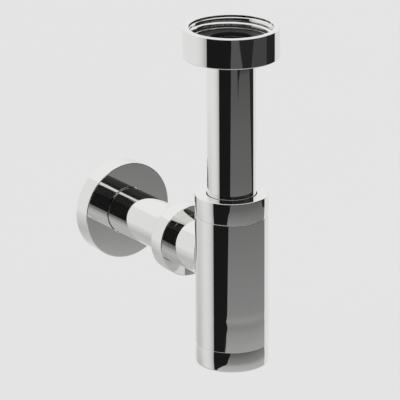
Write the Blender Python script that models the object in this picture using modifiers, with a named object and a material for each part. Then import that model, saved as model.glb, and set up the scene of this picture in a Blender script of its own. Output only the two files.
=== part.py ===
"""Chrome bottle trap for a wash basin, built as separate pieces.

Frame: metres, +Z up, +Y towards the wall. The origin is on the inlet axis, in the plane of the
inlet gasket's top face, where the basin waste lands. The whole trap is symmetric about X = 0,
apart from its screw thread.
"""

import math

import bmesh
import bpy

MM = 0.001

# Quality and clearances
FACETS = 40
SMOOTH_ANGLE = 30.0
TOUCH_GAP = 0.3 * MM        # between faces that bear on each other
SLIDE_GAP = 0.4 * MM        # round a tube that slides in a bore
THREAD_ROOM = 0.9 * MM      # radial room between a male and a female thread land
EDGE = 0.4 * MM             # broken edges

# Tube stock, the same for the inlet tube and the wall pipe
TUBE_RADIUS = 12.5 * MM
TUBE_WALL = 1.0 * MM
TUBE_DIP = 40.0 * MM        # inlet tube, below the outlet axis

# Inlet union, pipe thread G 1 1/4
UNION_WALL = 3.545 * MM     # nut metal outside the thread's major radius
UNION_HEIGHT = 15.4 * MM
UNION_LIP = 2.7 * MM
THREAD_MAJOR_RADIUS = 20.955 * MM
THREAD_DEPTH = 1.479 * MM
THREAD_PITCH = 2.309 * MM
THREAD_FLANK = 0.52         # half width gained per unit of depth, a 55 degree thread
THREAD_RELIEF = 2.6 * MM
FLANGE_CLEARANCE = 0.6 * MM
FLANGE_THICKNESS = 2.5 * MM
GASKET_THICKNESS = 2.0 * MM
GASKET_SETBACK = 0.4 * MM    # gasket hole, outside the tube's own radius
SLIP_THICKNESS = 1.2 * MM

# Bottle
CAP_DROP = 81.3 * MM        # gasket seat down to the top of the cap
WATER_GAP = 4.9 * MM        # between the inlet tube and the bottle's inner wall
BODY_WALL = 1.4 * MM
BODY_LENGTH = 68.6 * MM
CAP_HEIGHT = 11.3 * MM
CAP_TOP_WALL = 2.2 * MM
CUP_HEIGHT = 10.7 * MM
CUP_FLOOR = 1.8 * MM
CUP_SUMP = 2.2 * MM
CUP_BORE_GAP = 1.9 * MM     # round the inlet tube, in the cup and its thread ring
SKIRT_STEP = 0.2 * MM       # skirt bore of the cap and the cup, outside the chamber
RING_TAIL = 6.0 * MM        # brazed length of a thread ring inside the shell
CUP_GASKET_THICKNESS = 1.5 * MM

# Gland seal of the inlet tube
SEAL_WIDTH = 2.3 * MM
SEAL_HEIGHT = 4.3 * MM
SEAL_PROUD = 1.6 * MM
THRUST_THICKNESS = 1.9 * MM

# Outlet
OUTLET_BELOW_SEAM = 24.9 * MM
NECK_WALL = 1.2 * MM
NECK_REACH = 36.35 * MM     # bottle axis to the flat face of the outlet nut
OUTLET_NUT_LENGTH = 9.3 * MM
OUTLET_NUT_LIP = 1.35 * MM
OUTLET_SKIRT_WALL = 2.5 * MM
OUTLET_LAND_WALL = 1.4 * MM
OUTLET_FLANGE = 1.2 * MM
OUTLET_SEAL_WIDTH = 1.3 * MM
OUTLET_SEAL_LENGTH = 3.1 * MM
OUTLET_SEAL_PROUD = 0.9 * MM
OUTLET_THRUST_THICKNESS = 0.8 * MM
PIPE_INSERTION = 18.9 * MM  # pipe length inside the seal and the neck
PIPE_BEYOND_WALL = 12.0 * MM

# Wall rosette
WALL_DISTANCE = 106.05 * MM
ROSETTE_RADIUS = 26.0 * MM
ROSETTE_DEPTH = 10.15 * MM
ROSETTE_WALL = 1.2 * MM
ROSETTE_HOLE_GAP = 0.67 * MM
HUB_WALL = 1.2 * MM
HUB_DEPTH = 3.9 * MM
GRIP_WIDTH = 1.8 * MM
GRIP_LENGTH = 3.0 * MM

# Levels and radii that follow from the sizes above
SLIDE_BORE = TUBE_RADIUS + SLIDE_GAP
SEAL_BORE = TUBE_RADIUS + TOUCH_GAP
UNION_RADIUS = THREAD_MAJOR_RADIUS + UNION_WALL
GASKET_HOLE_RADIUS = TUBE_RADIUS + GASKET_SETBACK
UPPER_SEAM = -(CAP_DROP + CAP_HEIGHT)
LOWER_SEAM = UPPER_SEAM - BODY_LENGTH
OUTLET_LEVEL = UPPER_SEAM - OUTLET_BELOW_SEAM
CHAMBER_RADIUS = TUBE_RADIUS + WATER_GAP
BODY_RADIUS = CHAMBER_RADIUS + BODY_WALL
CUP_BORE_RADIUS = TUBE_RADIUS + CUP_BORE_GAP
SKIRT_BORE = CHAMBER_RADIUS + SKIRT_STEP
SPIGOT_RADIUS = SKIRT_BORE - THREAD_ROOM
NECK_RADIUS = SLIDE_BORE + NECK_WALL
OUTLET_POCKET = SEAL_BORE + OUTLET_SEAL_WIDTH + TOUCH_GAP
OUTLET_LAND = OUTLET_POCKET + OUTLET_LAND_WALL
OUTLET_NUT_BORE = OUTLET_LAND + THREAD_ROOM
OUTLET_NUT_RADIUS = OUTLET_NUT_BORE + OUTLET_SKIRT_WALL
HALF_SEAM = TOUCH_GAP / 2


def clear_scene():
    for item in list(bpy.data.objects):
        bpy.data.objects.remove(item)


def new_collection(name):
    group = bpy.data.collections.new(name)
    bpy.context.scene.collection.children.link(group)
    return group


def new_material(name, colour, roughness, metallic):
    material = bpy.data.materials.new(name)
    material.use_nodes = True
    shader = material.node_tree.nodes["Principled BSDF"]
    shader.inputs["Base Color"].default_value = (*colour, 1.0)
    shader.inputs["Roughness"].default_value = roughness
    shader.inputs["Metallic"].default_value = metallic
    return material


def new_datum(name, height, turn=0.0):
    """An empty whose local +Z points out along the axis of the pieces on it."""
    empty = bpy.data.objects.new(name, None)
    empty.location = (0.0, 0.0, height)
    empty.rotation_euler = (turn, 0.0, 0.0)
    empty.empty_display_size = 10.0 * MM
    parts.objects.link(empty)
    return empty


def freeze(piece):
    """Applies the modifiers and shades the round faces smooth."""
    evaluated = piece.evaluated_get(bpy.context.evaluated_depsgraph_get())
    mesh = bpy.data.meshes.new_from_object(evaluated)
    mesh.shade_smooth()
    mesh.set_sharp_from_angle(angle=math.radians(SMOOTH_ANGLE))
    piece.modifiers.clear()
    piece.data = mesh


def new_cutter(name, bm, datum, turn=0.0):
    """Turns a finished bmesh into a guide solid for a Boolean."""
    mesh = bpy.data.meshes.new(name)
    bm.to_mesh(mesh)
    bm.free()
    piece = bpy.data.objects.new(name, mesh)
    piece.rotation_euler.z = turn
    piece.parent = datum
    piece.hide_render = True
    piece.display_type = "WIRE"
    cutters.objects.link(piece)
    return piece


def turned(name, outline, datum, material, closed=True):
    """An outline of (radius, height) points turned about the datum's local Z."""
    mesh = bpy.data.meshes.new(name)
    points = [(radius, 0.0, height) for radius, height in outline]
    edges = [(i, i + 1) for i in range(len(points) - 1)]
    if closed:
        edges.append((len(points) - 1, 0))
    mesh.from_pydata(points, edges, [])
    mesh.materials.append(material)
    piece = bpy.data.objects.new(name, mesh)
    piece.parent = datum
    parts.objects.link(piece)
    screw = piece.modifiers.new("Screw", "SCREW")
    screw.axis = "Z"
    screw.angle = 2.0 * math.pi
    screw.steps = FACETS
    screw.render_steps = FACETS
    screw.use_merge_vertices = True
    screw.merge_threshold = 0.00001
    return piece


def ring(name, inner, outer, low, high, datum, material, edge=0.0):
    outline = [(outer, high), (outer, low), (inner, low), (inner, high)]
    if edge > 0.0:
        outer_side = [(outer - edge, high), (outer, high - edge)]
        outer_side += [(outer, low + edge), (outer - edge, low)]
        outline = outer_side + outline[2:]
    return turned(name, outline, datum, material)


def cylinder_cutter(name, radius, low, high, datum):
    bm = bmesh.new()
    bmesh.ops.create_cone(bm, cap_ends=True, segments=FACETS, radius1=radius, radius2=radius,
                          depth=high - low)
    bmesh.ops.translate(bm, verts=bm.verts, vec=(0.0, 0.0, (low + high) / 2))
    return new_cutter(name, bm, datum)


def boolean(piece, other, operation):
    modifier = piece.modifiers.new(other.name, "BOOLEAN")
    modifier.operation = operation
    modifier.solver = "EXACT"
    modifier.object = other


def thread_cutter(name, low, high, datum):
    """A helical ridge that leaves a female pipe thread when it is cut out of a bore."""
    minor = THREAD_MAJOR_RADIUS - THREAD_DEPTH
    crest = THREAD_PITCH / 12
    root = crest + THREAD_FLANK * (THREAD_DEPTH + TOUCH_GAP)
    section = [(minor - TOUCH_GAP, -root), (THREAD_MAJOR_RADIUS, -crest)]
    section += [(THREAD_MAJOR_RADIUS, crest), (minor - TOUCH_GAP, root)]
    steps = math.ceil((high - low) / THREAD_PITCH * FACETS)
    rise = THREAD_PITCH / FACETS
    bm = bmesh.new()
    corners = [bm.verts.new((radius, 0.0, low + height)) for radius, height in section]
    face = bm.faces.new(corners)
    bmesh.ops.spin(bm, geom=[face, *face.edges, *face.verts], cent=(0.0, 0.0, 0.0),
                   axis=(0.0, 0.0, 1.0), dvec=(0.0, 0.0, rise), steps=steps,
                   angle=steps * 2.0 * math.pi / FACETS, use_duplicate=False)
    bmesh.ops.recalc_face_normals(bm, faces=bm.faces)
    return new_cutter(name, bm, datum, turn=math.pi / FACETS)


# Inlet, heights from the gasket seat

def inlet_gasket():
    outer = THREAD_MAJOR_RADIUS - THREAD_DEPTH - FLANGE_CLEARANCE
    ring("inlet_gasket", GASKET_HOLE_RADIUS, outer, -GASKET_THICKNESS, 0.0, seat, rubber)


def inlet_flange_ring():
    outer = THREAD_MAJOR_RADIUS - THREAD_DEPTH - FLANGE_CLEARANCE
    ring("inlet_flange_ring", SEAL_BORE, outer, FLANGE_BOTTOM, TUBE_TOP, seat, brass)


def inlet_slip_ring():
    outer = THREAD_MAJOR_RADIUS - THREAD_DEPTH - FLANGE_CLEARANCE
    high = FLANGE_BOTTOM - TOUCH_GAP
    ring("inlet_slip_ring", SLIDE_BORE, outer, high - SLIP_THICKNESS, high, seat, nylon)


def inlet_tube():
    low = OUTLET_LEVEL - TUBE_DIP
    ring("inlet_tube", TUBE_RADIUS - TUBE_WALL, TUBE_RADIUS, low, TUBE_TOP, seat, chrome)


def inlet_union_nut():
    lip_top = FLANGE_BOTTOM - SLIP_THICKNESS - 2 * TOUCH_GAP
    bottom = lip_top - UNION_LIP
    top = bottom + UNION_HEIGHT
    minor = THREAD_MAJOR_RADIUS - THREAD_DEPTH
    relief = THREAD_MAJOR_RADIUS + TOUCH_GAP
    relief_top = lip_top + THREAD_RELIEF
    outline = [(UNION_RADIUS - EDGE, top), (UNION_RADIUS, top - EDGE)]
    outline += [(UNION_RADIUS, bottom + EDGE), (UNION_RADIUS - EDGE, bottom)]
    outline += [(SLIDE_BORE, bottom), (SLIDE_BORE, lip_top), (relief, lip_top)]
    outline += [(relief, relief_top), (minor, relief_top + THREAD_DEPTH)]
    outline += [(minor, top - THREAD_DEPTH), (relief, top)]
    nut = turned("inlet_union_nut", outline, seat, chrome)
    start = lip_top + THREAD_RELIEF / 2
    groove = thread_cutter("cut_inlet_thread", start, top + THREAD_PITCH, seat)
    boolean(nut, groove, "DIFFERENCE")


# Bottle, heights from the upper seam or, pointing down, from the lower seam

def top_cap():
    underside = CAP_HEIGHT - CAP_TOP_WALL
    outline = [(BODY_RADIUS - EDGE, CAP_HEIGHT), (BODY_RADIUS, CAP_HEIGHT - EDGE)]
    outline += [(BODY_RADIUS, HALF_SEAM + EDGE), (BODY_RADIUS - EDGE, HALF_SEAM)]
    outline += [(SKIRT_BORE, HALF_SEAM), (SKIRT_BORE, underside)]
    outline += [(SLIDE_BORE, underside), (SLIDE_BORE, CAP_HEIGHT)]
    turned("top_cap", outline, upper_seam, chrome)


def tube_thrust_ring():
    ring("tube_thrust_ring", SLIDE_BORE, SPIGOT_RADIUS, THRUST_BOTTOM,
         THRUST_BOTTOM + THRUST_THICKNESS, upper_seam, nylon)


def tube_seal():
    outer = SEAL_BORE + SEAL_WIDTH
    ring("tube_seal", SEAL_BORE, outer, SEAL_TOP - SEAL_HEIGHT, SEAL_TOP, upper_seam, rubber,
         edge=2 * EDGE)


def top_thread_ring():
    top = SEAL_TOP - SEAL_PROUD
    floor = SEAL_TOP - SEAL_HEIGHT - TOUCH_GAP
    pocket = SEAL_BORE + SEAL_WIDTH + TOUCH_GAP
    tail = CHAMBER_RADIUS - TOUCH_GAP
    outline = [(SPIGOT_RADIUS - EDGE, top), (SPIGOT_RADIUS, top - EDGE), (SPIGOT_RADIUS, 0.0)]
    outline += [(tail, 0.0), (tail, -RING_TAIL), (SLIDE_BORE, -RING_TAIL)]
    outline += [(SLIDE_BORE, floor), (pocket, floor), (pocket, top)]
    turned("top_thread_ring", outline, upper_seam, brass)


def trap_body():
    high = -HALF_SEAM
    low = HALF_SEAM - BODY_LENGTH
    outline = [(0.0, high), (BODY_RADIUS - EDGE, high), (BODY_RADIUS, high - EDGE)]
    outline += [(BODY_RADIUS, low + EDGE), (BODY_RADIUS - EDGE, low), (0.0, low)]
    shell = turned("trap_body", outline, upper_seam, chrome, closed=False)
    neck = cylinder_cutter("join_neck", NECK_RADIUS, 0.0, NECK_REACH - TOUCH_GAP, outlet)
    chamber = cylinder_cutter("cut_chamber", CHAMBER_RADIUS, low - BODY_RADIUS,
                              high + BODY_RADIUS, upper_seam)
    passage = cylinder_cutter("cut_neck_passage", SLIDE_BORE, 0.0, NECK_REACH + NECK_RADIUS, outlet)
    boolean(shell, neck, "UNION")
    boolean(shell, passage, "DIFFERENCE")
    boolean(shell, chamber, "DIFFERENCE")


def bottom_thread_ring():
    tail = CHAMBER_RADIUS - TOUCH_GAP
    outline = [(SPIGOT_RADIUS - EDGE, CUP_SPIGOT), (SPIGOT_RADIUS, CUP_SPIGOT - EDGE)]
    outline += [(SPIGOT_RADIUS, 0.0), (tail, 0.0), (tail, -RING_TAIL)]
    outline += [(CUP_BORE_RADIUS, -RING_TAIL), (CUP_BORE_RADIUS, CUP_SPIGOT)]
    turned("bottom_thread_ring", outline, lower_seam, brass)


def cup_gasket():
    low = CUP_SPIGOT + TOUCH_GAP
    ring("cup_gasket", CUP_BORE_RADIUS, SKIRT_BORE - TOUCH_GAP, low,
         low + CUP_GASKET_THICKNESS, lower_seam, rubber)


def bottom_cup():
    floor = CUP_HEIGHT - CUP_FLOOR
    outline = [(0.0, CUP_HEIGHT), (BODY_RADIUS - EDGE, CUP_HEIGHT)]
    outline += [(BODY_RADIUS, CUP_HEIGHT - EDGE), (BODY_RADIUS, HALF_SEAM + EDGE)]
    outline += [(BODY_RADIUS - EDGE, HALF_SEAM), (SKIRT_BORE, HALF_SEAM), (SKIRT_BORE, CUP_LEDGE)]
    outline += [(CUP_BORE_RADIUS, CUP_LEDGE), (CUP_BORE_RADIUS, floor), (0.0, floor)]
    turned("bottom_cup", outline, lower_seam, chrome, closed=False)


# Outlet, distances from the bottle axis towards the wall

def outlet_thread_ring():
    end = OUTLET_SEAL_END - OUTLET_SEAL_PROUD
    floor = OUTLET_SEAL_END - OUTLET_SEAL_LENGTH - TOUCH_GAP
    flange = OUTLET_NUT_BORE - TOUCH_GAP
    flange_end = NECK_REACH + OUTLET_FLANGE
    outline = [(OUTLET_LAND - EDGE, end), (OUTLET_LAND, end - EDGE), (OUTLET_LAND, flange_end)]
    outline += [(flange, flange_end), (flange, NECK_REACH), (SLIDE_BORE, NECK_REACH)]
    outline += [(SLIDE_BORE, floor), (OUTLET_POCKET, floor), (OUTLET_POCKET, end)]
    turned("outlet_thread_ring", outline, outlet, chrome)


def outlet_cone_seal():
    outer = SEAL_BORE + OUTLET_SEAL_WIDTH
    ring("outlet_cone_seal", SEAL_BORE, outer, OUTLET_SEAL_END - OUTLET_SEAL_LENGTH,
         OUTLET_SEAL_END, outlet, rubber, edge=EDGE)


def outlet_thrust_ring():
    low = OUTLET_SEAL_END + TOUCH_GAP
    ring("outlet_thrust_ring", SLIDE_BORE, OUTLET_NUT_BORE - TOUCH_GAP, low,
         low + OUTLET_THRUST_THICKNESS, outlet, nylon)


def outlet_union_nut():
    end = NECK_REACH + OUTLET_NUT_LENGTH
    lip = end - OUTLET_NUT_LIP
    outline = [(OUTLET_NUT_RADIUS - EDGE, end), (OUTLET_NUT_RADIUS, end - EDGE)]
    outline += [(OUTLET_NUT_RADIUS, NECK_REACH + EDGE), (OUTLET_NUT_RADIUS - EDGE, NECK_REACH)]
    outline += [(OUTLET_NUT_BORE, NECK_REACH), (OUTLET_NUT_BORE, lip)]
    outline += [(SLIDE_BORE, lip), (SLIDE_BORE, end)]
    turned("outlet_union_nut", outline, outlet, chrome)


def wall_pipe():
    ring("wall_pipe", TUBE_RADIUS - TUBE_WALL, TUBE_RADIUS, OUTLET_SEAL_END - PIPE_INSERTION,
         WALL_DISTANCE + PIPE_BEYOND_WALL, outlet, chrome)


def wall_rosette():
    face = WALL_DISTANCE - ROSETTE_DEPTH
    face_back = face + ROSETTE_WALL
    hub_bore = SEAL_BORE + GRIP_WIDTH + TOUCH_GAP
    hub_end = face_back + HUB_DEPTH
    hole = TUBE_RADIUS + ROSETTE_HOLE_GAP
    skirt = ROSETTE_RADIUS - ROSETTE_WALL
    outline = [(ROSETTE_RADIUS, WALL_DISTANCE), (ROSETTE_RADIUS, face + EDGE)]
    outline += [(ROSETTE_RADIUS - EDGE, face), (hole, face), (hole, face_back)]
    outline += [(hub_bore, face_back), (hub_bore, hub_end), (hub_bore + HUB_WALL, hub_end)]
    outline += [(hub_bore + HUB_WALL, face_back), (skirt, face_back), (skirt, WALL_DISTANCE)]
    turned("wall_rosette", outline, outlet, chrome)


def rosette_grip_ring():
    low = WALL_DISTANCE - ROSETTE_DEPTH + ROSETTE_WALL + TOUCH_GAP
    ring("rosette_grip_ring", SEAL_BORE, SEAL_BORE + GRIP_WIDTH, low, low + GRIP_LENGTH,
         outlet, rubber, edge=EDGE)


# Heights shared by neighbouring pieces
TUBE_TOP = -(GASKET_THICKNESS + TOUCH_GAP)
FLANGE_BOTTOM = TUBE_TOP - FLANGE_THICKNESS
THRUST_BOTTOM = CAP_HEIGHT - CAP_TOP_WALL - TOUCH_GAP - THRUST_THICKNESS
SEAL_TOP = THRUST_BOTTOM - TOUCH_GAP
CUP_LEDGE = CUP_HEIGHT - CUP_FLOOR - CUP_SUMP
CUP_SPIGOT = CUP_LEDGE - CUP_GASKET_THICKNESS - 2 * TOUCH_GAP
OUTLET_SEAL_END = (NECK_REACH + OUTLET_NUT_LENGTH - OUTLET_NUT_LIP
                   - OUTLET_THRUST_THICKNESS - 2 * TOUCH_GAP)

clear_scene()
parts = new_collection("bottle_trap")
cutters = new_collection("cutters")
chrome = new_material("polished_chrome", (0.78, 0.78, 0.77), 0.04, 1.0)
brass = new_material("turned_brass", (0.72, 0.53, 0.26), 0.22, 1.0)
rubber = new_material("black_rubber", (0.03, 0.03, 0.03), 0.65, 0.0)
nylon = new_material("white_nylon", (0.82, 0.81, 0.77), 0.45, 0.0)
seat = new_datum("inlet_seat", 0.0)
upper_seam = new_datum("upper_seam", UPPER_SEAM)
lower_seam = new_datum("lower_seam", LOWER_SEAM, math.pi)
outlet = new_datum("outlet_axis", OUTLET_LEVEL, -math.pi / 2)

inlet_gasket()
inlet_flange_ring()
inlet_slip_ring()
inlet_tube()
inlet_union_nut()
top_cap()
tube_thrust_ring()
tube_seal()
top_thread_ring()
trap_body()
bottom_thread_ring()
cup_gasket()
bottom_cup()
outlet_thread_ring()
outlet_cone_seal()
outlet_thrust_ring()
outlet_union_nut()
wall_pipe()
wall_rosette()
rosette_grip_ring()

bpy.context.view_layer.update()
for solid in [item for item in parts.objects if item.type == "MESH"]:
    freeze(solid)
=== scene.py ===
"""Looks of the chrome bottle trap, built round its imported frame.

Every visible piece is a fine mesh that stands for one CAD node and rides on its body. Lengths in
the profiles are millimetres, heights are along the piece's own axis: world Z for the pieces of
the bottle, world Y for the pieces of the outlet.
"""

import math

import bpy
import numpy as np
from mathutils import Matrix, Vector


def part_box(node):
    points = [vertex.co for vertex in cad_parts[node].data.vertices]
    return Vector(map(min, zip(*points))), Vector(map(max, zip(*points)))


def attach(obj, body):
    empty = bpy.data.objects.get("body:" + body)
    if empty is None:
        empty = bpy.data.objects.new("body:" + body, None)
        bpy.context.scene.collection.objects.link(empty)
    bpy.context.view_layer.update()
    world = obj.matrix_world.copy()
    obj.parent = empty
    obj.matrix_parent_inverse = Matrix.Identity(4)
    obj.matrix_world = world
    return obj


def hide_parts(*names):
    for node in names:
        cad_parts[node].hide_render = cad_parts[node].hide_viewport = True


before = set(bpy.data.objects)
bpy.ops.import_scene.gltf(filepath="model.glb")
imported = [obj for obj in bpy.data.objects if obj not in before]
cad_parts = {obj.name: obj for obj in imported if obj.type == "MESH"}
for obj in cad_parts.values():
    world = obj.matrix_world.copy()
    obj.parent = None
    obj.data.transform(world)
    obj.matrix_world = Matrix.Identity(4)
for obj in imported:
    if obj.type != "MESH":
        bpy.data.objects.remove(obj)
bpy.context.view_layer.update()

MM = 0.001

# Fineness of the meshes
SEGMENTS = 192          # round a turned piece
FILLET_STEPS = 7        # along a rounded edge
RIM_STEPS = 5           # along a rounded rim of the bottle's shell
CROWN_STEPS = 18        # along a barrelled side
THREAD_STEP = 0.11      # between the rows of a thread

# Radii
TUBE = 12.5             # both tubes, outside
BORE = 11.5             # both tubes, inside
BODY = 18.8             # bottle, outside
CHAMBER = 17.4          # bottle, inside
NECK = 14.1             # neck, outside
PASSAGE = 12.9          # neck, inside, and the holes of the nuts, cap and slip rings
CUP_BORE = 14.4
FEMALE_ROOT = 17.6      # groove of the thread in the cap and the cup
MALE_LAND = 16.7        # thread ring that the cap or the cup screws on
OUTLET_NUT_BORE = 16.7
OUTLET_LAND = 15.8
UNION_ROOT = 20.955     # G 1 1/4, major radius
UNION_CREST = 19.476    # G 1 1/4, minor radius

# Threads
UNION_PITCH = 2.309     # pipe thread of the inlet union
CLOSURE_PITCH = 1.5     # cap, cup and outlet nut
CLOSURE_RIDGE = 0.5     # height of their ridges
THREAD_FADE = 0.8       # length over which a thread starts and ends

# Clearances and curves
SEAM_GAP = 0.02         # hairline left where two pieces meet
SEAL_GAP = 0.3          # round a tube in its seal, and round a seal in its pocket
CAP_CROWN = 104.0       # radius of the barrelled side, seen from the side
CUP_CROWN = 50.0
OUTLET_NUT_CROWN = 60.0


def span(node, along="z"):
    """Low and high end of a CAD node along its axis, in mm."""
    low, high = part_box(node)
    return (low.z / MM, high.z / MM) if along == "z" else (low.y / MM, high.y / MM)


OUTLET_Z = (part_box("wall_pipe")[0].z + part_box("wall_pipe")[1].z) / 2 / MM


def seams():
    """Heights of the upper and lower seam of the bottle."""
    return ((span("top_cap")[0] + span("trap_body")[1]) / 2,
            (span("bottom_cup")[1] + span("trap_body")[0]) / 2)


# Profiles: rows of (radius, height, normal before, normal after)

def unit(x, y):
    length = math.hypot(x, y)
    return (x / length, y / length)


def side_normal(a, b):
    return unit(b[1] - a[1], a[0] - b[0])


def profile(points, closed=True):
    """Corner points (radius, height[, fillet]) to rows with exact normals. The solid is on the left
    of the way the points run."""
    rows = []
    count = len(points)
    for i, point in enumerate(points):
        here = point[:2]
        fillet = point[2] if len(point) > 2 else 0.0
        first, last = i == 0 and not closed, i == count - 1 and not closed
        before = points[i - 1][:2] if not first else None
        after = points[(i + 1) % count][:2] if not last else None
        normal_in = side_normal(before, here) if before else side_normal(here, after)
        normal_out = side_normal(here, after) if after else normal_in
        along = normal_in[0] * normal_out[0] + normal_in[1] * normal_out[1]
        turn = math.acos(max(-1.0, min(1.0, along)))
        if fillet <= 0.0 or turn < 0.01:
            rows.append((here[0], here[1], normal_in, normal_out))
            continue
        back = fillet * math.tan(turn / 2)
        way_in = unit(here[0] - before[0], here[1] - before[1])
        start = (here[0] - way_in[0] * back, here[1] - way_in[1] * back)
        cross = normal_in[0] * normal_out[1] - normal_in[1] * normal_out[0]
        sign = 1.0 if cross > 0 else -1.0
        centre = (start[0] - sign * normal_in[0] * fillet, start[1] - sign * normal_in[1] * fillet)
        for k in range(FILLET_STEPS + 1):
            angle = sign * turn * k / FILLET_STEPS
            c, s = math.cos(angle), math.sin(angle)
            normal = (normal_in[0] * c - normal_in[1] * s, normal_in[0] * s + normal_in[1] * c)
            rows.append((centre[0] + sign * normal[0] * fillet, centre[1] + sign * normal[1] * fillet,
                         normal, normal))
    return rows


# Meshes with exact normals

def build(name, positions, faces, corner_normals, material):
    mesh = bpy.data.meshes.new(name)
    mesh.from_pydata(positions, [], faces)
    mesh.materials.append(material)
    for polygon in mesh.polygons:
        polygon.use_smooth = True
    mesh.normals_split_custom_set(corner_normals)
    mesh.validate()
    piece = bpy.data.objects.new(name, mesh)
    bpy.context.scene.collection.objects.link(piece)
    return piece


def place(axis, radius, height, angle):
    """A point or direction of a turned piece in world axes: radial, along, angle."""
    c, s = math.cos(angle), math.sin(angle)
    if axis == "z":
        return (radius * c, radius * s, height)
    return (radius * s, height, radius * c)


def shifted(axis, point):
    x, y, z = point
    return (x * MM, y * MM, (z + (OUTLET_Z if axis == "y" else 0.0)) * MM)


def lathe(name, rows, material, axis="z", closed=True, segments=SEGMENTS, radius_at=None):
    """Turns a profile. radius_at(row, angle) may change the radius, for a thread: those rows get
    their normals from the surface itself."""
    turns = [2 * math.pi * j / segments for j in range(segments)]
    count = len(rows)
    live = [radius_at is not None and radius_at(i, 0.0) is not None for i in range(count)]
    radii = [[radius_at(i, t) if live[i] else row[0] for t in turns] for i, row in enumerate(rows)]
    positions, index = [], []
    for i, row in enumerate(rows):
        if row[0] < 1e-6:
            positions.append(shifted(axis, place(axis, 0.0, row[1], 0.0)))
            index.append([len(positions) - 1] * segments)
            continue
        index.append(list(range(len(positions), len(positions) + segments)))
        positions += [shifted(axis, place(axis, radii[i][j], row[1], t)) for j, t in enumerate(turns)]

    def normal(i, j, before):
        j %= segments
        if live[i]:
            a, b = (i - 1) % count, (i + 1) % count
            if not live[a]:
                a = i
            if not live[b]:
                b = i
            dr, dh = radii[b][j] - radii[a][j], rows[b][1] - rows[a][1]
            across = (radii[i][(j + 1) % segments] - radii[i][j - 1]) / (2 * turns[1] * radii[i][j])
            n_r, n_h = dh, -dr
            n_t = -across * dh
            length = math.sqrt(n_r * n_r + n_h * n_h + n_t * n_t)
            c, s = math.cos(turns[j]), math.sin(turns[j])
            n_r, n_h, n_t = n_r / length, n_h / length, n_t / length
            if axis == "z":
                return (n_r * c - n_t * s, n_r * s + n_t * c, n_h)
            return (n_r * s + n_t * c, n_h, n_r * c - n_t * s)
        n = rows[i][2] if before else rows[i][3]
        return place(axis, n[0], n[1], turns[j])

    faces, normals = [], []
    for i in range(count if closed else count - 1):
        k = (i + 1) % count
        for j in range(segments):
            m = (j + 1) % segments
            corners = [(i, j, False), (i, m, False), (k, m, True), (k, j, True)]
            ids = [index[a][b] for a, b, _ in corners]
            keep = corners
            if ids[0] == ids[1]:
                keep = [corners[0], corners[2], corners[3]]
            elif ids[2] == ids[3]:
                keep = [corners[0], corners[1], corners[2]]
            faces.append([index[a][b] for a, b, _ in keep])
            normals += [normal(a, b, before) for a, b, before in keep]
    return build(name, positions, faces, normals, material)


def thread_wave(height, angle, pitch, lead=0.0, sharp=0.94):
    """0 in the groove, 1 on the crest of a rounded 55 degree thread, right-handed."""
    phase = 2 * math.pi * ((height - lead) / pitch) - angle
    return 0.5 + math.asin(sharp * math.cos(phase)) / (2 * math.asin(sharp))


def smoothstep(x):
    x = max(0.0, min(1.0, x))
    return x * x * (3 - 2 * x)


def thread_rows(radius, low, high, female):
    """Plain rows for a thread: a male thread runs up, a female thread runs down."""
    steps = max(2, math.ceil((high - low) / THREAD_STEP))
    heights = [low + (high - low) * k / steps for k in range(steps + 1)]
    normal = (1.0, 0.0)
    if female:
        heights.reverse()
        normal = (-1.0, 0.0)
    return [(radius, h, normal, normal) for h in heights]


def finish_piece(piece, body, node):
    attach(piece, body)
    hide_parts(node)
    return piece


# Materials

def new_material(name):
    material = bpy.data.materials.new(name)
    material.use_nodes = True
    tree = material.node_tree
    return material, tree, tree.nodes["Principled BSDF"]


def link(tree, out, into):
    tree.links.new(out, into)


def noise(tree, vector, scale, detail, roughness=0.5):
    node = tree.nodes.new("ShaderNodeTexNoise")
    node.inputs["Scale"].default_value = scale
    node.inputs["Detail"].default_value = detail
    node.inputs["Roughness"].default_value = roughness
    link(tree, vector, node.inputs["Vector"])
    return node.outputs["Fac"]


def to_range(tree, value, low, high, from_low=0.0, from_high=1.0):
    node = tree.nodes.new("ShaderNodeMapRange")
    node.inputs["From Min"].default_value = from_low
    node.inputs["From Max"].default_value = from_high
    node.inputs["To Min"].default_value = low
    node.inputs["To Max"].default_value = high
    link(tree, value, node.inputs["Value"])
    return node.outputs["Result"]


def mix_colours(tree, factor, a, b):
    node = tree.nodes.new("ShaderNodeMix")
    node.data_type = "RGBA"
    node.inputs[6].default_value = (*a, 1.0)
    node.inputs[7].default_value = (*b, 1.0)
    link(tree, factor, node.inputs[0])
    return node.outputs[2]


def polar(tree, axis):
    """The piece's own coordinates, and a vector of (place along its axis, distance from it)."""
    coordinates = tree.nodes.new("ShaderNodeTexCoord").outputs["Object"]
    split = tree.nodes.new("ShaderNodeSeparateXYZ")
    flat = tree.nodes.new("ShaderNodeCombineXYZ")
    length = tree.nodes.new("ShaderNodeVectorMath")
    length.operation = "LENGTH"
    along = tree.nodes.new("ShaderNodeCombineXYZ")
    if axis == "y":
        centred = tree.nodes.new("ShaderNodeVectorMath")
        centred.operation = "SUBTRACT"
        centred.inputs[1].default_value = (0.0, 0.0, OUTLET_Z * MM)
        link(tree, coordinates, centred.inputs[0])
        link(tree, centred.outputs[0], split.inputs[0])
        link(tree, split.outputs["X"], flat.inputs["X"])
        link(tree, split.outputs["Z"], flat.inputs["Y"])
        link(tree, split.outputs["Y"], along.inputs["X"])
    else:
        link(tree, coordinates, split.inputs[0])
        link(tree, split.outputs["X"], flat.inputs["X"])
        link(tree, split.outputs["Y"], flat.inputs["Y"])
        link(tree, split.outputs["Z"], along.inputs["X"])
    link(tree, flat.outputs[0], length.inputs[0])
    link(tree, length.outputs["Value"], along.inputs["Y"])
    return coordinates, along.outputs[0]


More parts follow.
